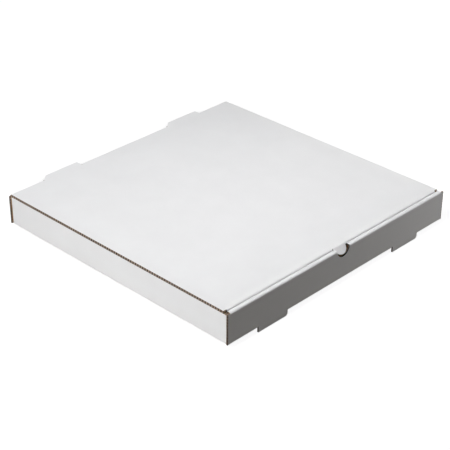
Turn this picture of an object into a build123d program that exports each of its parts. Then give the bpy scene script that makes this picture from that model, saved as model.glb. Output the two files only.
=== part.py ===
from build123d import *
import os
from math import radians, tan

# A corrugated pizza box, folded from one blank: a tray with a rolled front wall, and a lid that
# turns at the crease along the top of the back wall. Millimetres, +Z up, front wall towards -Y.
# The origin is the middle of the box's footprint, at the level of the feet's tips.

# Sizes of the box
width = 328.0  # front and back walls, end to end
depth = 320.0  # front face to back face
front_height = 34.8  # underside of the floor to the top of the rolled front wall
lid_height = 34.8  # underside of the floor to the top of the lid
wall_overhang = 1.0  # front and back walls past each side wall
lid_inset = 1.0  # lid's raw edges in from the side walls' outer faces

# The board and its folds
board = 1.6  # thickness, two liners with the fluted medium between them
liner = 0.25  # each of the two flat papers
medium = 0.25  # the wavy paper between them
flute_pitch = 3.4  # one wave
flute_depth = 3.0  # how far the flutes are opened at a raw edge
crushed_end = 12.0  # at each end of a long raw edge, where the flutes are crushed shut
fold_radius = 1.0  # at the middle of the board
layer_gap = 0.3  # air between layers that lie against each other
cut_gap = 0.4  # width of a die cut between two parts of the blank

# Tray
lid_rest_gap = 0.6  # tops of the side walls below the lid
hinge_gap = 0.3  # top of the back wall below the lid
strip_inset = 4.0  # rolled strip and inner panel in from the ends of the front wall
corner_flap = 40.0  # length of the four corner flaps
foot_length = 41.0
foot_reach = 5.3  # feet below the floor
foot_place = 101.5  # middle of a foot from the middle of the box
foot_chamfer = 2.0
lock_play = 1.0  # lock tab in its slot, at each end
notch_radius = 9.5  # half-round thumb notch

# Lid
tab_length = 51.0
tab_reach = 6.3  # back tabs past the back wall
tab_place = 91.0  # middle of a tab from the middle of the box
tab_slant = 7.0  # how far a tab's slanted end runs in
swing_gap = 0.6  # below a tab as it swings through its slot
tuck_gap = 1.0  # tuck flap behind the rolled wall
tuck_depth = 27.0
tuck_lean = 3.0  # degrees past square, so the flap clears the rolled wall as the lid opens
tuck_inset = 4.0  # tuck flap in from the ends of the lid
tuck_corner = 14.0  # radius of its lower corners
tongue_width = 18.0
tongue_length = 9.2
tongue_angle = 45.0  # degrees below the lid

# Heights and planes worked out from these
half_board = board / 2
fold_start = half_board + fold_radius  # from a board's outer face to where its fold ends
floor_bottom = foot_reach
floor_middle = floor_bottom + half_board
floor_top = floor_bottom + board
front_top = floor_bottom + front_height
lid_top = floor_bottom + lid_height
lid_middle = lid_top - half_board
side_top = lid_top - board - lid_rest_gap
back_top = lid_top - board - hinge_gap
inner_bottom = floor_top + layer_gap
front_y = -(depth + tab_reach) / 2
back_y = front_y + depth
side_x = width / 2 - wall_overhang
floor_x = side_x - fold_start  # where the floor ends and the side walls' folds begin
lid_x = side_x - lid_inset
strip_x = width / 2 - strip_inset
roll_width = 3 * board + 2 * layer_gap  # outer panel, corner flap and inner panel
flap_middle = board + layer_gap + half_board  # corner flap's middle from the wall's outer face
tuck_middle = front_y + roll_width + tuck_gap + half_board
tuck_x = lid_x - tuck_inset
tuck_fold_y = tuck_middle + fold_radius * tan(radians(90 + tuck_lean) / 2)


def flute_openings(plane, length):
    """Ends of the open flutes along a raw edge: triangles that point up and down in turn."""
    base = flute_pitch - medium
    core = board - 2 * liner
    rise = core - medium
    waves = int(length / flute_pitch)
    with BuildSketch(plane) as openings:
        with Locations((-flute_pitch / 4, -core / 2)):
            with GridLocations(flute_pitch, 0, waves, 1):
                Polygon((-base / 2, 0), (base / 2, 0), (0, rise), align=None)
        with Locations((flute_pitch / 4, core / 2)):
            with GridLocations(flute_pitch, 0, waves, 1):
                Polygon((-base / 2, 0), (0, -rise), (base / 2, 0), align=None)
    return openings.sketch


with BuildPart() as tray:
    # Front panel, floor and back wall: one sheet bent at the two bottom creases
    with BuildSketch(Plane.YZ):
        with BuildLine():
            FilletPolyline(
                (front_y + half_board, front_top - fold_start),
                (front_y + half_board, floor_middle),
                (back_y - half_board, floor_middle),
                (back_y - half_board, back_top),
                radius=fold_radius,
            )
        trace(line_width=board)
    extrude(amount=floor_x, both=True)

    # The roll: over the top of the front panel and down inside it
    with BuildSketch(Plane.YZ):
        with BuildLine():
            FilletPolyline(
                (front_y + half_board, front_top - fold_start - board),
                (front_y + half_board, front_top - half_board),
                (front_y + roll_width - half_board, front_top - half_board),
                (front_y + roll_width - half_board, inner_bottom),
                radius=fold_radius,
            )
        trace(line_width=board)
    extrude(amount=strip_x, both=True)

    # Ends of the front panel, past the rolled strip and the floor
    with BuildSketch(Plane.XZ.offset(-front_y)):
        with BuildLine():
            Polyline(
                (strip_x, front_top - fold_start),
                (strip_x, front_top - half_board),
                (width / 2, front_top - half_board),
                (width / 2, floor_middle),
                (floor_x, floor_middle),
                (floor_x, front_top - fold_start),
                close=True,
            )
        make_face()
        mirror(about=Plane.YZ)
    extrude(amount=-board)

    # Ends of the back wall, past the floor
    with BuildSketch(Plane.XZ.offset(-back_y)):
        with BuildLine():
            Polyline(
                (floor_x, floor_middle),
                (floor_x, back_top),
                (width / 2, back_top),
                (width / 2, floor_middle),
                close=True,
            )
        make_face()
        mirror(about=Plane.YZ)
    extrude(amount=board)

    # Side walls, bent up from the floor between the corner folds
    wall_start = front_y + flap_middle + fold_radius
    wall_end = back_y - flap_middle - fold_radius
    with BuildSketch(Plane.XZ.offset(-wall_start)):
        with BuildLine():
            FilletPolyline(
                (half_board - side_x, side_top),
                (half_board - side_x, floor_middle),
                (side_x - half_board, floor_middle),
                (side_x - half_board, side_top),
                radius=fold_radius,
            )
        trace(line_width=board)
    extrude(amount=wall_start - wall_end)

    # Corner flaps, bent in from both ends of each side wall behind the front and back walls
    with BuildSketch(Plane.XY.offset(inner_bottom)):
        with BuildLine():
            FilletPolyline(
                (side_x - corner_flap, front_y + flap_middle),
                (side_x - half_board, front_y + flap_middle),
                (side_x - half_board, back_y - flap_middle),
                (side_x - corner_flap, back_y - flap_middle),
                radius=fold_radius,
            )
        trace(line_width=board)
        mirror(about=Plane.YZ)
    extrude(amount=side_top - inner_bottom)

    # Slots left in the floor where the feet are cut from it
    with BuildSketch(Plane.XY.offset(floor_bottom)):
        with GridLocations(2 * foot_place, 0, 2, 1):
            with Locations((0, front_y + foot_reach / 2)):
                Rectangle(foot_length + 2 * cut_gap, foot_reach + 2 * cut_gap)
    extrude(amount=fold_start, mode=Mode.SUBTRACT)

    # Feet, in the plane of the front panel
    with BuildSketch(Plane.XZ.offset(-front_y)):
        with GridLocations(2 * foot_place, 0, 2, 1):
            Polygon(
                (-foot_length / 2, 0),
                (foot_length / 2 - foot_chamfer, 0),
                (foot_length / 2, foot_chamfer),
                (foot_length / 2, floor_bottom + fold_start),
                (-foot_length / 2, floor_bottom + fold_start),
                align=None,
            )
    extrude(amount=-board)

    # Lock tabs of the inner panel, down through the slots to the floor's underside
    with BuildSketch(Plane.XY.offset(floor_bottom)):
        with GridLocations(2 * foot_place, 0, 2, 1):
            with Locations((0, front_y + roll_width - half_board)):
                Rectangle(foot_length - 2 * lock_play, board)
    extrude(amount=inner_bottom - floor_bottom)

    # Thumb notch through the rolled front wall
    with BuildSketch(Plane.XZ.offset(-front_y)):
        with Locations((0, front_top)):
            Circle(notch_radius)
    extrude(amount=-roll_width, mode=Mode.SUBTRACT)

    # Slots left in the back wall where the lid's tabs are cut from it. The slanted end stands
    # further off its tab, because the tab's thickness turns towards it as the lid opens.
    slot_reach = tab_reach + swing_gap
    slot_square_end = tab_length / 2 + cut_gap
    slot_slanted_end = tab_length / 2 + cut_gap + tab_slant / tab_reach * half_board
    slot_slant = tab_slant / tab_reach * slot_reach
    with BuildSketch(Plane.XZ.offset(-back_y)):
        with GridLocations(2 * tab_place, 0, 2, 1):
            with Locations((0, lid_top)):
                Polygon(
                    (-slot_slanted_end, 0),
                    (slot_square_end, 0),
                    (slot_square_end, -slot_reach),
                    (slot_slant - slot_slanted_end, -slot_reach),
                    align=None,
                )
    extrude(amount=board, mode=Mode.SUBTRACT)

    # Open flutes in the raw tops of the side walls and the raw ends of the front and back walls
    for side in (1, -1):
        wall_middle = (side * (side_x - half_board), (wall_start + wall_end) / 2, side_top)
        wall_plane = Plane(wall_middle, x_dir=(0, 1, 0), z_dir=(0, 0, 1))
        ends = flute_openings(wall_plane, wall_end - wall_start - 2 * crushed_end)
        extrude(ends, amount=-flute_depth, mode=Mode.SUBTRACT)
        end_middle = (floor_bottom + front_top) / 2
        for y in (front_y + half_board, back_y - half_board):
            end_plane = Plane((side * width / 2, y, end_middle), x_dir=(0, 0, 1), z_dir=(side, 0, 0))
            ends = flute_openings(end_plane, front_height - 2 * board - flute_pitch)
            extrude(ends, amount=-flute_depth, mode=Mode.SUBTRACT)

tray.part.label = "tray"


with BuildPart() as tuck_flap:
    # The flap and its crease, with a little of the lid behind the crease
    with BuildSketch(Plane.YZ):
        with BuildLine():
            FilletPolyline(
                (tuck_fold_y + board, lid_middle),
                (tuck_middle, lid_middle),
                (tuck_middle + tuck_depth * tan(radians(tuck_lean)), lid_middle - tuck_depth),
                radius=fold_radius,
            )
        trace(line_width=board)
    extrude(amount=tuck_x, both=True)

    # Its outline, with rounded lower corners
    with BuildSketch(Plane.XZ.offset(-back_y)):
        with Locations((0, lid_middle - tuck_depth)):
            RectangleRounded(2 * tuck_x, 4 * tuck_depth, tuck_corner, align=(Align.CENTER, Align.MIN))
    extrude(amount=depth, mode=Mode.INTERSECT)

    # The half-round opening that the tongue is cut from
    with BuildSketch(Plane.XZ.offset(-back_y)):
        with Locations((0, lid_top - board)):
            Ellipse(tongue_width / 2 + cut_gap, tongue_length + cut_gap)
            Rectangle(2 * tuck_x, board, align=(Align.CENTER, Align.MIN), mode=Mode.SUBTRACT)
    extrude(amount=depth, mode=Mode.SUBTRACT)


with BuildPart() as tongue:
    # The tongue bends down from the lid's front crease
    bend = Plane((0, tuck_middle, lid_middle), x_dir=(1, 0, 0), z_dir=(0, 0, 1)).rotated((tongue_angle, 0, 0))
    tip = bend.from_local_coords((0, -tongue_length, 0))
    with BuildSketch(Plane.YZ):
        with BuildLine():
            FilletPolyline(
                (tuck_fold_y + board, lid_middle),
                (tuck_middle, lid_middle),
                (tip.Y, tip.Z),
                radius=fold_radius,
            )
        trace(line_width=board)
    extrude(amount=tongue_width / 2, both=True)

    # Its half-round outline
    with BuildSketch(bend):
        Ellipse(tongue_width / 2, tongue_length)
        Rectangle(tongue_width, tongue_length, align=(Align.CENTER, Align.MIN))
    extrude(amount=tongue_length, both=True, mode=Mode.INTERSECT)


with BuildPart() as lid:
    # The flat panel with its two back tabs
    with BuildSketch(Plane.XY.offset(lid_top)):
        with Locations((0, back_y)):
            Rectangle(2 * lid_x, back_y - tuck_fold_y, align=(Align.CENTER, Align.MAX))
        for side in (1, -1):
            with Locations((side * (lid_x + tuck_x) / 2, tuck_fold_y)):
                Rectangle(tuck_inset, tuck_fold_y - tuck_middle, align=(Align.CENTER, Align.MAX))
        with GridLocations(2 * tab_place, 0, 2, 1):
            with Locations((0, back_y)):
                Polygon(
                    (-tab_length / 2, 0),
                    (tab_length / 2, 0),
                    (tab_length / 2, tab_reach),
                    (tab_slant - tab_length / 2, tab_reach),
                    align=None,
                )
    extrude(amount=-board)
    add(tuck_flap.part)
    add(tongue.part)

    # Open flutes along the raw side edges
    for side in (1, -1):
        edge_middle = (back_y + tuck_fold_y) / 2
        edge_plane = Plane((side * lid_x, edge_middle, lid_middle), x_dir=(0, side, 0), z_dir=(side, 0, 0))
        ends = flute_openings(edge_plane, back_y - tuck_fold_y - 2 * crushed_end)
        extrude(ends, amount=-flute_depth, mode=Mode.SUBTRACT)

lid.part.label = "lid"

os.makedirs("parts", exist_ok=True)
export_step(tray.part, "parts/tray.step")
export_step(lid.part, "parts/lid.step")
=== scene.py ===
# %% [markdown]
# A folded pizza box.
# The box is one die-cut sheet of corrugated board: white paper outside, brown kraft paper inside and a
# wavy brown paper between them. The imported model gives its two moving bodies, the tray and the lid.
# This lesson dresses them: the board's two faces and its raw edges, the fold that joins lid and tray,
# and a plain studio round it. Everything is in metres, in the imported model's own frame.

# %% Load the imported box
from math import cos, pi, radians, sin
import bmesh
import bpy
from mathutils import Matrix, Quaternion, Vector
from mathutils.bvhtree import BVHTree


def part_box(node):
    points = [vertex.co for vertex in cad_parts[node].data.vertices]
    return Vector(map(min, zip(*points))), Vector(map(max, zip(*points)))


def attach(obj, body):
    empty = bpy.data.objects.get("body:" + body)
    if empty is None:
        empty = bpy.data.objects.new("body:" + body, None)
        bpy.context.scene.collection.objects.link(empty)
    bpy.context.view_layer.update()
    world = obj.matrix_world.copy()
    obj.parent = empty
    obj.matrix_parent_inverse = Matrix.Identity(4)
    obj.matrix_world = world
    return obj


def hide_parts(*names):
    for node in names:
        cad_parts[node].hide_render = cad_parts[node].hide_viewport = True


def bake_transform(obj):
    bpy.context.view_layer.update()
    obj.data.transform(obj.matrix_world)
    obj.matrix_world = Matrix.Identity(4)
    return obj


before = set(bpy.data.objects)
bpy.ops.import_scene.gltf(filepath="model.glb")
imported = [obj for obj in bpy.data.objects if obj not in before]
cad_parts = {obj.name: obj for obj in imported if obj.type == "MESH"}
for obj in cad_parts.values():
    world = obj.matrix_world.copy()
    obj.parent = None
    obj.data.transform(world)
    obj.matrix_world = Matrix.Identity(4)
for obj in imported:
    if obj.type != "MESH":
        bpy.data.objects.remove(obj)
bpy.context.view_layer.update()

# %% [markdown]
# Sizes of the box.
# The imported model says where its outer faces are, so those are read from it. The board's thickness and
# the box's depth without its back tabs can't be read off a box round a mesh: they are the values that
# the model was drawn with, repeated here in millimetres, and so are the other sizes further down.

# %% Measure the folded board
mm = 0.001
hair = 0.01 * mm  # nearer than this is the same place
board = 1.6 * mm  # two flat papers with the wavy one between them
depth = 320 * mm  # front face to back face
tray_low, tray_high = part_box("tray")
lid_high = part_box("lid")[1]
front_y = tray_low.y
back_y = front_y + depth
front_top = tray_high.z
wall_end = tray_high.x  # raw ends of the front and back walls
lid_edge = lid_high.x
lid_top = lid_high.z
print("front face", front_y, "back face", back_y, "lid top", lid_top)

# %% [markdown]
# The waves in the board.
# The middle paper of this fine board has a wave, or flute, every few millimetres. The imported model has
# the waves open at the raw edges, a little way in, and the finishes continue them over the papers. The
# pattern has to line up with the openings, so the first of them is looked for in the lid's left edge:
# the faces where the openings end, in the lower of their two rows.

# %% Find the first wave
flute_pitch = 3.4 * mm
flute_depth = 3.0 * mm  # how far the waves are open behind a raw edge
flute_ends = []
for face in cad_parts["lid"].data.polygons:
    in_left_edge = abs(face.center.x + lid_edge - flute_depth) < hair
    in_lower_row = face.center.z < lid_top - board / 2
    if in_left_edge and in_lower_row:
        flute_ends.append(face.center.y)
wave_start = min(flute_ends)
print("open waves in the lid's left edge", len(flute_ends), "the first at", wave_start)

# %% [markdown]
# Two helpers for the finishes.
# Colours are easiest to think of as the hex values of a paint program, which are sRGB, while shaders
# work with linear light. One function makes the change. The other adds a shader node, sets its values
# and joins its inputs, so that each finish below reads as a list of steps.


# %% Colour and node helpers
def hex_colour(code):
    """Linear red, green, blue and alpha of an sRGB hex colour."""
    shares = [int(code[i : i + 2], 16) / 255 for i in (0, 2, 4)]
    linear = [s / 12.92 if s <= 0.04045 else ((s + 0.055) / 1.055) ** 2.4 for s in shares]
    return (*linear, 1)


def add_node(tree, kind, settings=None, links=None):
    """Adds one shader node, sets its inputs and properties, and joins other nodes' outputs to it."""
    node = tree.nodes.new("ShaderNode" + kind)
    for name, value in (settings or {}).items():
        if isinstance(name, int) or name in node.inputs:
            node.inputs[name].default_value = value
        else:
            setattr(node, name, value)
    for name, source in (links or {}).items():
        tree.links.new(source, node.inputs[name])
    return node


print("white paper in linear light", hex_colour("EDEDED")[:3])

# %% [markdown]
# What the three papers share.
# Glued over the waves, a paper shows them as faint parallel ridges, the washboard. The ridges could be
# modelled, but they are a few hundredths of a millimetre high, so they are a bump. They run along X on
# every panel except the side walls, where the fold turns them upright. So the wave is counted along Y
# on level and side faces, and along Z on faces that look along Y.


# %% Start of a paper's material
def paper_finish(name):
    """A material with no shader yet, its node tree, the place on the box, and the wave from -1 to 1."""
    material = bpy.data.materials.new(name)
    material.use_nodes = True
    tree = material.node_tree
    tree.nodes.clear()
    place = add_node(tree, "TexCoord")
    axes = add_node(tree, "SeparateXYZ", links={0: place.outputs["Object"]})
    facing = add_node(tree, "SeparateXYZ", links={0: place.outputs["Normal"]})
    slope = add_node(tree, "Math", {"operation": "ABSOLUTE"}, {0: facing.outputs["Y"]})
    upright = add_node(tree, "Math", {"operation": "GREATER_THAN", 1: 0.7}, {0: slope.outputs[0]})
    along = add_node(
        tree,
        "Mix",
        {"data_type": "FLOAT"},
        {"Factor": upright.outputs[0], "A": axes.outputs["Y"], "B": axes.outputs["Z"]},
    )
    per_metre = 2 * pi / flute_pitch
    phase = -per_metre * wave_start - pi / 2  # lowest at an opening of the lower row
    turns = add_node(
        tree,
        "Math",
        {"operation": "MULTIPLY_ADD", 1: per_metre, 2: phase},
        {0: along.outputs[0]},
    )
    ridge = add_node(tree, "Math", {"operation": "SINE"}, {0: turns.outputs[0]})
    return material, tree, place.outputs["Object"], ridge.outputs[0]


print("waves in each metre of paper", 1 / flute_pitch)

# %% [markdown]
# The outer face: bleached white paper.
# A pizza box's outside is a machine-finished white paper, matt, with a slightly cloudy tone where its
# fibres lie thicker. Two noises give the clouds and the fibres, and the clouds also make it a little
# rougher here and smoother there, which shows only in light that grazes the lid.

# %% White paper
white_paper, tree, spot, ridge = paper_finish("white_bleached_paper")
cloud_size = 28 * mm
fibre_size = 2.2 * mm  # real fibres are under 1 mm long, too fine for the picture
clouds = add_node(tree, "TexNoise", {"Scale": 1 / cloud_size, "Detail": 3.0}, {"Vector": spot})
fibres = add_node(
    tree,
    "TexNoise",
    {"Scale": 1 / fibre_size, "Detail": 4.0, "Roughness": 0.65},
    {"Vector": spot},
)
tone = add_node(
    tree,
    "Math",
    {"operation": "MULTIPLY_ADD", 1: 0.35},
    {0: fibres.outputs[0], 2: clouds.outputs[0]},
)
colour = add_node(tree, "ValToRGB", links={0: tone.outputs[0]})
for stop, (share, code) in zip(colour.color_ramp.elements, ((0.35, "EBEBEC"), (1.0, "EFEFF0"))):
    stop.position = share
    stop.color = hex_colour(code)
sheen = add_node(
    tree,
    "MapRange",
    {"From Min": 0.3, "From Max": 0.7, "To Min": 0.84, "To Max": 0.94},
    {"Value": clouds.outputs[0]},
)
relief = add_node(tree, "Math", {"operation": "MULTIPLY_ADD", 1: 0.6}, {0: ridge, 2: fibres.outputs[0]})
bump = add_node(tree, "Bump", {"Strength": 0.25, "Distance": 0.05 * mm}, {"Height": relief.outputs[0]})
shader = add_node(
    tree,
    "BsdfPrincipled",
    {"IOR": 1.5},
    {"Base Color": colour.outputs[0], "Roughness": sheen.outputs[0], "Normal": bump.outputs[0]},
)
add_node(tree, "OutputMaterial", links={"Surface": shader.outputs[0]})
print("made", white_paper.name)

# %% [markdown]
# The inner face: brown kraft paper.
# Unbleached kraft keeps the wood's brown, with long fibres that show as paler and darker flecks, so its
# noise is drawn out along X. It is rougher than the white paper and shows the same washboard.

# %% Kraft paper
kraft_paper, tree, spot, ridge = paper_finish("brown_kraft_paper")
clouds = add_node(tree, "TexNoise", {"Scale": 1 / cloud_size, "Detail": 3.0}, {"Vector": spot})
strands = add_node(tree, "Mapping", {"Scale": (0.25, 1.0, 1.0)}, {"Vector": spot})
flecks = add_node(
    tree,
    "TexNoise",
    {"Scale": 1 / fibre_size, "Detail": 5.0, "Roughness": 0.7},
    {"Vector": strands.outputs[0]},
)
tone = add_node(
    tree,
    "Math",
    {"operation": "MULTIPLY_ADD", 1: 0.5},
    {0: clouds.outputs[0], 2: flecks.outputs[0]},
)
colour = add_node(tree, "ValToRGB", links={0: tone.outputs[0]})
for stop, (share, code) in zip(colour.color_ramp.elements, ((0.45, "A67C52"), (1.0, "C9A378"))):
    stop.position = share
    stop.color = hex_colour(code)
relief = add_node(tree, "Math", {"operation": "MULTIPLY_ADD", 1: 0.6}, {0: ridge, 2: flecks.outputs[0]})
bump = add_node(tree, "Bump", {"Strength": 0.35, "Distance": 0.05 * mm}, {"Height": relief.outputs[0]})
shader = add_node(
    tree,
    "BsdfPrincipled",
    {"IOR": 1.5, "Roughness": 0.82},
    {"Base Color": colour.outputs[0], "Normal": bump.outputs[0]},
)
add_node(tree, "OutputMaterial", links={"Surface": shader.outputs[0]})
print("made", kraft_paper.name)

# %% [markdown]
# The raw edge: cut fluting.
# Where the die cut the board, all three papers show brown. The white one does too, because only its top
# layer is bleached. The cut is painted dark and torn, with a paler spot at each crest of the wave, where
# the papers are glued together: the brown and the pale spots are the papers' own, and the darkness
# between the crests is painted shade of the open waves. The open waves are holes. A real one runs on
# through the board and lets no light back, so the far ends of the modelled ones get painted shade, black,
# from an attribute of the mesh.

# %% Cut fluting
cut_fluting, tree, spot, ridge = paper_finish("cut_brown_fluting")
tear_size = 1.6 * mm
tears = add_node(
    tree,
    "TexNoise",
    {"Scale": 1 / tear_size, "Detail": 4.0, "Roughness": 0.7},
    {"Vector": spot},
)
# the dark ramp is partly the cut board's own brown and partly painted shade of the open waves
colour = add_node(tree, "ValToRGB", links={0: tears.outputs[0]})
for stop, (share, code) in zip(colour.color_ramp.elements, ((0.3, "2E221B"), (0.75, "4C3A30"))):
    stop.position = share
    stop.color = hex_colour(code)
crest = add_node(tree, "MapRange", {"From Min": -0.2, "From Max": 0.5}, {"Value": ridge})
spotted = add_node(
    tree,
    "Mix",
    {"data_type": "RGBA", "B": hex_colour("AE9886")},
    {"Factor": crest.outputs[0], "A": colour.outputs[0]},
)
# painted shade: the flute_shade attribute blends the colour towards black where it is set
shade = add_node(tree, "Attribute", {"attribute_name": "flute_shade"})
dim = add_node(tree, "MapRange", {"From Max": 0.5, "To Max": 0.97}, {"Value": shade.outputs["Fac"]})
shaded = add_node(
    tree,
    "Mix",
    {"data_type": "RGBA", "B": hex_colour("000000")},
    {"Factor": dim.outputs[0], "A": spotted.outputs["Result"]},
)
bump = add_node(tree, "Bump", {"Strength": 0.5, "Distance": 0.1 * mm}, {"Height": tears.outputs[0]})
shader = add_node(
    tree,
    "BsdfPrincipled",
    {"IOR": 1.5, "Roughness": 0.9},
    {"Base Color": shaded.outputs["Result"], "Normal": bump.outputs[0]},
)
add_node(tree, "OutputMaterial", links={"Surface": shader.outputs[0]})
print("made", cut_fluting.name)

# %% [markdown]
# Room for the crease that the lid turns on.
# On the real box the lid and the back wall are one board, creased along the top of the wall and cut
# only round the two tabs. A stiff body can't show a board that bends, so the last few millimetres of
# lid and wall on both sides of the crease come off their bodies, in the three stretches between the
# cuts, and are made further down as a piece of its own. Here are the boxes to cut away.

# %% Stretches of the crease
crease_reach = 3.2 * mm  # how much of the lid and of the wall belongs to the crease
nick = 0.2 * mm  # the width of a die cut
tab_place = 91 * mm  # middle of a tab from the middle of the box
slanted_end = 26.79 * mm  # from there to the slanted end of the slot that the tab leaves in the wall
square_end = 25.9 * mm  # and to its square end
crease_ends = [-lid_edge]
for tab_middle in (-tab_place, tab_place):
    crease_ends += [tab_middle - slanted_end, tab_middle + square_end]
crease_ends.append(lid_edge)
crease_spans = list(zip(crease_ends[0::2], crease_ends[1::2]))

corner = Vector((0, back_y, lid_top))
wall_knives = []
lid_knives = []
for left, right in crease_spans:
    high = corner + Vector((right + nick, board, board))
    wall_knives.append((Vector((left - nick, back_y - board - nick / 2, lid_top - crease_reach)), high))
    lid_knives.append((Vector((left - nick, back_y - crease_reach, lid_top - 2 * board)), high))
print("crease in", len(crease_spans), "stretches", crease_spans)

# %% [markdown]
# A copy of the tray without the crease.
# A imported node's own mesh must not be changed, so a copy stands for it. The node is loose triangles,
# which are merged first. The box could be cut away with planes, but that leaves holes to fill. The
# Boolean modifier closes the cut by itself. Its helper objects go when the result is read.


# %% Copy the tray and cut the crease out
def trimmed_copy(node, knives):
    """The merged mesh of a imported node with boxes, each given as its low and high corner, cut away."""
    sheet = bmesh.new()
    sheet.from_mesh(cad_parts[node].data)
    bmesh.ops.remove_doubles(sheet, verts=sheet.verts, dist=weld)
    whole = bpy.data.objects.new("whole", bpy.data.meshes.new("whole"))
    sheet.to_mesh(whole.data)
    sheet.free()
    helpers = [whole]
    for low, high in knives:
        block = bmesh.new()
        bmesh.ops.create_cube(block, size=1.0)
        bmesh.ops.scale(block, vec=high - low, verts=block.verts)
        bmesh.ops.translate(block, vec=(low + high) / 2, verts=block.verts)
        knife = bpy.data.objects.new("knife", bpy.data.meshes.new("knife"))
        block.to_mesh(knife.data)
        block.free()
        helpers.append(knife)
        cut = whole.modifiers.new("cut", "BOOLEAN")
        cut.operation = "DIFFERENCE"
        cut.solver = "EXACT"
        cut.object = knife
    for helper in helpers:
        bpy.context.scene.collection.objects.link(helper)
    now = bpy.context.evaluated_depsgraph_get()
    trimmed = bpy.data.meshes.new_from_object(whole.evaluated_get(now))
    for helper in helpers:
        bpy.data.objects.remove(helper)
    return trimmed


weld = 0.001 * mm  # corners nearer than this are one
tray_mesh = trimmed_copy("tray", wall_knives)
print("tray without the crease:", len(tray_mesh.polygons), "faces")

# %% [markdown]
# Whole faces.
# The triangles of one flat face are joined, so that it is sorted as one. At the ends of the front and
# back walls the last of the inner paper gets the dark raw finish, as painted shade. A cut across the ends
# makes that strip a face of its own.


# %% Join the triangles
def flat_sheet(mesh):
    """The mesh as a bmesh of whole faces, split where the walls' ends get painted shade."""
    sheet = bmesh.new()
    sheet.from_mesh(mesh)
    bmesh.ops.dissolve_limit(sheet, angle_limit=radians(0.5), verts=sheet.verts, edges=sheet.edges)
    for end in (-painted_shade_line, painted_shade_line):
        everything = sheet.verts[:] + sheet.edges[:] + sheet.faces[:]
        bmesh.ops.bisect_plane(sheet, geom=everything, plane_co=(end, 0, 0), plane_no=(1, 0, 0))
    return sheet


# the inner paper from here to the raw end gets the dark raw finish as painted shade
painted_shade_line = wall_end - 0.9 * mm  # from here to the raw end
tray_sheet = flat_sheet(tray_mesh)
print("tray in whole faces:", len(tray_sheet.faces))

# %% [markdown]
# Paper or raw edge?
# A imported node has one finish, but a sheet of board has two papers and a raw edge. A face of the sheet
# has the other paper exactly one board behind it, and a raw edge hasn't, so rays cast inwards tell them
# apart. Part of a paper can lie over an open wave, so each triangle of a face votes with its area.


# %% Vote with rays
def paper_votes(sheet):
    """For each face, the area with a paper one board behind it, less the rest of its area."""
    sheet.faces.index_update()
    inside = BVHTree.FromBMesh(sheet)
    votes = [0.0] * len(sheet.faces)
    for corners in sheet.calc_loop_triangles():
        face = corners[0].face
        a, b, c = [loop.vert.co for loop in corners]
        area = (b - a).cross(c - a).length / 2
        start = (a + b + c) / 3 - face.normal * hair
        thickness = inside.ray_cast(start, -face.normal)[3] or 0
        votes[face.index] += area if abs(thickness - board) < fold_slack else -area
    return votes


fold_slack = 0.35 * mm  # the thickness read through a fold's flat facets differs this much
print("paper faces of the tray", sum(vote > 0 for vote in paper_votes(tray_sheet)))

# %% [markdown]
# White or kraft?
# That depends on the side: white looks away from the room that a panel folds round, and kraft looks into
# it. The tray's walls fold round the room where the pizza lies. The front wall also folds round a narrow
# room of its own, between its outer and inner panels, so its white paper rolls over the top and down
# inside. The rooms are a little smaller than the real ones, which keeps them clear of the folds.

# %% Rooms of the tray
far = 1.0  # metres, past everything
clear_of_folds = 8 * mm
floor_top = 6.9 * mm
roll_width = 5.4 * mm  # the front wall's three layers with the air between them
overhang = 1 * mm  # front and back walls past each side wall
side_face = wall_end - overhang
room_side = side_face - clear_of_folds
room_front = front_y + roll_width + clear_of_folds
roll_middle = front_y + roll_width / 2
pizza_room = (
    Vector((-room_side, room_front, floor_top + clear_of_folds)),
    Vector((room_side, back_y - clear_of_folds, far)),
)
roll_room = (
    Vector((-far, roll_middle, floor_top + board)),
    Vector((far, roll_middle, front_top - 2 * board)),
)


def tray_room(middle):
    """The room that this place of the tray folds round."""
    in_front_wall = middle.y < front_y + roll_width + hair
    between_sides = abs(middle.x) < side_face - board
    return roll_room if in_front_wall and between_sides else pizza_room


print("pizza room", pizza_room)

# %% [markdown]
# Sorting the faces.
# Every face now gets the number of its finish. The room's point that is nearest to a face says which
# way is outwards there, also on the rounded folds, where no axis would.

# %% Sort the tray's faces
white, kraft, raw = range(3)  # the finishes, in the order in which a piece gets them


def sort_faces(sheet, room_of):
    """Numbers each face of a sheet for its finish."""
    votes = paper_votes(sheet)
    for face in sheet.faces:
        middle = face.calc_center_median()
        low, high = room_of(middle)
        nearest = Vector([min(max(p, a), b) for p, a, b in zip(middle, low, high)])
        if votes[face.index] <= 0:
            face.material_index = raw
        elif face.normal.dot(middle - nearest) > 0:
            face.material_index = white
        elif abs(middle.x) > painted_shade_line:
            face.material_index = raw  # painted shade: the dark raw finish on the wall's last millimetre
        else:
            face.material_index = kraft
    return [sum(face.material_index == finish for face in sheet.faces) for finish in (white, kraft, raw)]


print("tray faces, white, kraft and raw:", sort_faces(tray_sheet, tray_room))

# %% [markdown]
# Painted shade in the open waves.
# The side walls' tops and the ends of the front and back walls are open waves, so the faces where the
# openings end are painted black: painted shade deep in the waves. The round cut of the thumb notch opens
# the waves askew, and its cut face gets part of that painted shade, for the shade round the tongue. A
# number at each corner of these faces tells the finish, which blends it along the opening.

# %% Shade the tray's openings
notch_radius = 9.5 * mm
notch_reach = 1.05 * notch_radius  # a little past the cut
# how much painted shade the notch's cut face gets
notch_shade = 0.46
lid_rest = 0.6 * mm  # tops of the side walls below the lid
side_top = lid_top - board - lid_rest


def tray_shade(place):
    """How much painted shade a raw face of the tray gets, from 0 to 1."""
    in_side_wall = abs(place.x) > side_face - board
    in_side_opening = in_side_wall and abs(place.z - side_top + flute_depth) < hair
    in_end_opening = abs(abs(place.x) - wall_end + flute_depth) < hair
    if in_side_opening or in_end_opening:
        return 1.0
    in_notch = Vector((place.x, 0, place.z - front_top)).length < notch_reach
    return notch_shade if in_notch else 0.0


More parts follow.
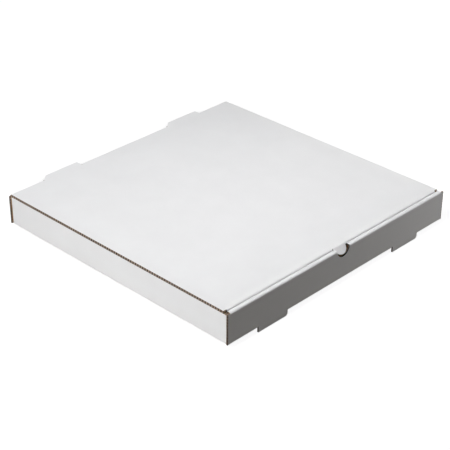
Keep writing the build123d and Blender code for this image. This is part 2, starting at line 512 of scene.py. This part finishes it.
def mark_flutes(sheet, shade_of):
    """Stores the raw faces' painted shade at their corners, and counts the shaded corners."""
    mark = sheet.verts.layers.float.new("flute_shade")
    for face in sheet.faces:
        shade = shade_of(face.calc_center_median()) if face.material_index == raw else 0
        for vert in face.verts:
            vert[mark] = max(vert[mark], shade)
    return sum(vert[mark] > 0 for vert in sheet.verts)


print("dark corners of the tray", mark_flutes(tray_sheet, tray_shade))

# %% [markdown]
# The tray as a piece.
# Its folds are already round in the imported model, so the faces stay flat shaded: smooth shading would
# run from a fold into the panels beside it and show as a grey gradient on the white.


# %% Dress the tray
def finished_piece(sheet, name):
    """The bmesh as an object with the board's three finishes."""
    for face in sheet.faces:
        face.smooth = False
    mesh = bpy.data.meshes.new(name)
    sheet.to_mesh(mesh)
    sheet.free()
    for finish in (white_paper, kraft_paper, cut_fluting):
        mesh.materials.append(finish)
    piece = bpy.data.objects.new(name, mesh)
    bpy.context.scene.collection.objects.link(piece)
    return piece


tray_board = finished_piece(tray_sheet, "tray_board")
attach(tray_board, "tray")
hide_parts("tray")
print("made", tray_board.name)

# %% [markdown]
# The lid.
# It folds round the same room from above: the flat panel, the tuck flap behind the front wall and the
# small tongue that stands out through the notch. Its left and right edges are cut across the waves. Only
# one of the two rows of openings in an edge gets painted shade: the one that lies between the pale crests
# of the finish, which is the lower one on the left and the upper on the right.

# %% Dress the lid
under_lid = (
    Vector((-far, room_front, -far)),
    Vector((far, far, lid_top - board - clear_of_folds)),
)


def lid_room(middle):
    """The room under the lid, the same for every place of it."""
    return under_lid


def lid_shade(place):
    """How much painted shade a raw face of the lid gets, from 0 to 1."""
    in_opening = abs(abs(place.x) - lid_edge + flute_depth) < hair
    in_lower_row = place.z < lid_top - board / 2
    on_left = place.x < 0
    return 1.0 if in_opening and in_lower_row == on_left else 0.0


lid_sheet = flat_sheet(trimmed_copy("lid", lid_knives))
print("lid faces, white, kraft and raw:", sort_faces(lid_sheet, lid_room))
print("dark corners of the lid", mark_flutes(lid_sheet, lid_shade))
lid_board = finished_piece(lid_sheet, "lid_board")
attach(lid_board, "lid")
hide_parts("lid")

# %% [markdown]
# The crease.
# The board goes up the back wall, round and on into the lid. Its section could be drawn point by point,
# but it is simpler to sweep it: one edge as long as the board is thick is spun a quarter turn round the
# middle of the bend, and its two ends go straight on, down the wall and into the lid. Spin without a
# turn does that in even steps. Extruded along X, the section gives a stretch.

# %% Sweep the section of the crease
bend_outside = 1.8 * mm  # the radius of the white face, with the kraft face one board further in
bend_middle = corner - Vector((0, bend_outside, bend_outside))
bend_steps = 8
straight_run = crease_reach - bend_outside
straight_steps = 4
out_of_wall = Vector((0, 1, 0))
down_wall = Vector((0, 0, -1))
into_lid = Vector((0, -1, 0))

fold = bmesh.new()
for left, right in crease_spans:
    made = set(fold.faces)
    middle = bend_middle + Vector((left, 0, 0))
    white_side = fold.verts.new(middle + out_of_wall * bend_outside)
    kraft_side = fold.verts.new(middle + out_of_wall * (bend_outside - board))
    wall_side = [white_side, kraft_side, fold.edges.new((white_side, kraft_side))]
    bend = {"cent": middle, "axis": (1, 0, 0), "angle": pi / 2, "steps": bend_steps}
    lid_side = bmesh.ops.spin(fold, geom=wall_side, **bend)["geom_last"]
    for side, way in ((wall_side, down_wall), (lid_side, into_lid)):
        run = {"cent": middle, "axis": (1, 0, 0), "dvec": way * straight_run / straight_steps}
        bmesh.ops.spin(fold, geom=side, angle=0, steps=straight_steps, **run)
    section = [face for face in fold.faces if face not in made]
    swept = bmesh.ops.extrude_face_region(fold, geom=section)["geom"]
    far_side = [part for part in swept if isinstance(part, bmesh.types.BMVert)]
    bmesh.ops.translate(fold, vec=Vector((right - left, 0, 0)), verts=far_side)
bmesh.ops.remove_doubles(fold, verts=fold.verts, dist=weld)
bmesh.ops.recalc_face_normals(fold, faces=fold.faces)
print("crease faces", len(fold.faces), "closed", all(edge.is_manifold for edge in fold.edges))

# %% [markdown]
# The papers of the crease.
# Seen from the middle of the bend, the white face is further out than the board is thick, the kraft face
# looks back at the middle, and what is left is cut.

# %% Finish the crease
for face in fold.faces:
    across = Vector((0, face.normal.y, face.normal.z))
    distance = (face.calc_center_median() - bend_middle).dot(across)
    if distance > board:
        face.material_index = white
    elif distance < -hair:
        face.material_index = kraft
    else:
        face.material_index = raw
fold.verts.layers.float.new("flute_shade")  # the finish reads it, and nothing here is dark
lid_crease = finished_piece(fold, "lid_crease")
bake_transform(lid_crease)

# %% [markdown]
# The camera.
# The photograph's own view was worked out from the box's corners: a long lens, a little over a metre
# away, looking down on the corner between the front and the left wall.

# %% Camera
view_from = Vector((-893.3, -865.87, 727.25)) * mm
view_turn = radians(45.91)  # from straight at the front, round to the left wall
view_drop = radians(30.33)
view_roll = radians(0.26)
looking = Vector((sin(view_turn) * cos(view_drop), cos(view_turn) * cos(view_drop), -sin(view_drop)))
lens = bpy.data.cameras.new("camera")
lens.sensor_width = 36.0
lens.lens = 107.7
camera = bpy.data.objects.new("camera", lens)
bpy.context.scene.collection.objects.link(camera)
camera.rotation_mode = "QUATERNION"
camera.rotation_quaternion = looking.to_track_quat("-Z", "Y") @ Quaternion((0, 0, 1), view_roll)
camera.location = view_from
bpy.context.scene.camera = camera
print("camera", tuple(camera.location), "lens", lens.lens)

# %% [markdown]
# What is seen and what is lit.
# The photograph's background is plain white. A floor that is bright enough to be white would throw too
# much light up the walls, and so would a white sky. So the studio answers two kinds of rays apart: those
# that are seen, directly, in a reflection or through glass, and those that only carry light.


# %% White surround
def seen_rays(tree):
    """One for rays that the camera sees, directly, reflected or through glass, and zero for light."""
    path = add_node(tree, "LightPath")
    shine = add_node(
        tree,
        "Math",
        {"operation": "MAXIMUM"},
        {0: path.outputs["Is Camera Ray"], 1: path.outputs["Is Glossy Ray"]},
    )
    seen = add_node(
        tree,
        "Math",
        {"operation": "MAXIMUM"},
        {0: shine.outputs[0], 1: path.outputs["Is Transmission Ray"]},
    )
    return seen.outputs[0]


world = bpy.data.worlds.new("white_surround")
bpy.context.scene.world = world
world.use_nodes = True
tree = world.node_tree
tree.nodes.clear()
fill_level = 0.085  # the white surround's light on the box
level = add_node(tree, "MapRange", {"To Min": fill_level, "To Max": 1.0}, {"Value": seen_rays(tree)})
sky = add_node(tree, "Background", {"Color": hex_colour("FFFFFF")}, {"Strength": level.outputs[0]})
add_node(tree, "OutputWorld", links={"Surface": sky.outputs[0]})
print("made", world.name, "with a fill of", fill_level)

# %% [markdown]
# The floor.
# For light it is a dark grey. For what is seen it is a paler grey with a white glow added, which grows
# to full white away from the box, and near the box leaves some of the tone to the lamps, so that the
# shadow still shows.

# %% Floor
floor_paint = bpy.data.materials.new("pale_floor")
floor_paint.use_nodes = True
tree = floor_paint.node_tree
tree.nodes.clear()
glow_near = 0.92
shadow_reach = 0.25  # metres from the middle of the box, where the glow starts to grow
white_reach = 0.9  # metres, where it is full
place = add_node(tree, "TexCoord")
away = add_node(tree, "VectorMath", {"operation": "LENGTH"}, {0: place.outputs["Object"]})
glow = add_node(
    tree,
    "MapRange",
    {"From Min": shadow_reach, "From Max": white_reach, "To Min": glow_near, "To Max": 1.0},
    {"Value": away.outputs["Value"]},
)
light = add_node(tree, "Emission", {"Color": hex_colour("FFFFFF")}, {"Strength": glow.outputs[0]})
pale = add_node(tree, "BsdfDiffuse", {"Color": hex_colour("7B7B7B")})
seen_floor = add_node(tree, "AddShader", links={0: light.outputs[0], 1: pale.outputs[0]})
dark = add_node(tree, "BsdfDiffuse", {"Color": hex_colour("645F58")})
both = add_node(
    tree,
    "MixShader",
    links={0: seen_rays(tree), 1: dark.outputs[0], 2: seen_floor.outputs[0]},
)
add_node(tree, "OutputMaterial", links={"Surface": both.outputs[0]})

floor_reach = 3.0  # metres to each side
ground = bmesh.new()
bmesh.ops.create_grid(ground, x_segments=1, y_segments=1, size=floor_reach)
mesh = bpy.data.meshes.new("floor")
ground.to_mesh(mesh)
ground.free()
mesh.materials.append(floor_paint)
floor = bpy.data.objects.new("floor", mesh)
bpy.context.scene.collection.objects.link(floor)
print("made", floor.name, "with", floor_paint.name)

# %% [markdown]
# The lamps.
# The key lamp stands high on the left, so the lid and the left wall are bright and the front wall lies in
# shade. The pool lamp, with a narrow beam, lifts the part of the lid that is brightest in the photograph.
# The side lamp stands low on the left and evens out the left wall. The fill lamp, low on the right, lifts
# the front wall's far end. All are soft area lamps that the camera doesn't see.


# %% Lamps
def soft_lamp(name, place, target, size, power, beam=radians(180)):
    """A square area lamp that looks from its place to its target, in metres and watts."""
    lamp = bpy.data.lights.new(name, "AREA")
    lamp.shape = "SQUARE"
    lamp.size = size
    lamp.energy = power
    lamp.spread = beam
    stand = bpy.data.objects.new(name, lamp)
    stand.location = place
    stand.rotation_mode = "QUATERNION"
    stand.rotation_quaternion = (Vector(target) - Vector(place)).to_track_quat("-Z", "Y")
    stand.visible_camera = False
    bpy.context.scene.collection.objects.link(stand)
    print(name, power, "W at", place)


soft_lamp("key_lamp", place=(-1.87, -0.1, 2.2), target=(0.0, 0.0, 0.03), size=0.6, power=26.6)
soft_lamp(
    "pool_lamp",
    place=(-0.75, 0.03, 0.88),
    target=(-0.02, -0.03, 0.04),
    size=0.64,
    power=1.0,
    beam=radians(35.3),
)
soft_lamp("side_lamp", place=(-1.6, 0.3, 0.5), target=(-0.1, 0.0, 0.03), size=0.5, power=2.45)
soft_lamp("fill_lamp", place=(0.6, -0.35, 0.15), target=(0.12, -0.16, 0.02), size=0.2, power=1.06)

# %% [markdown]
# Finish.
# The picture uses the plain Standard view, so that a colour renders as it is written.

# %% Finish
bpy.context.scene.view_settings.view_transform = "Standard"
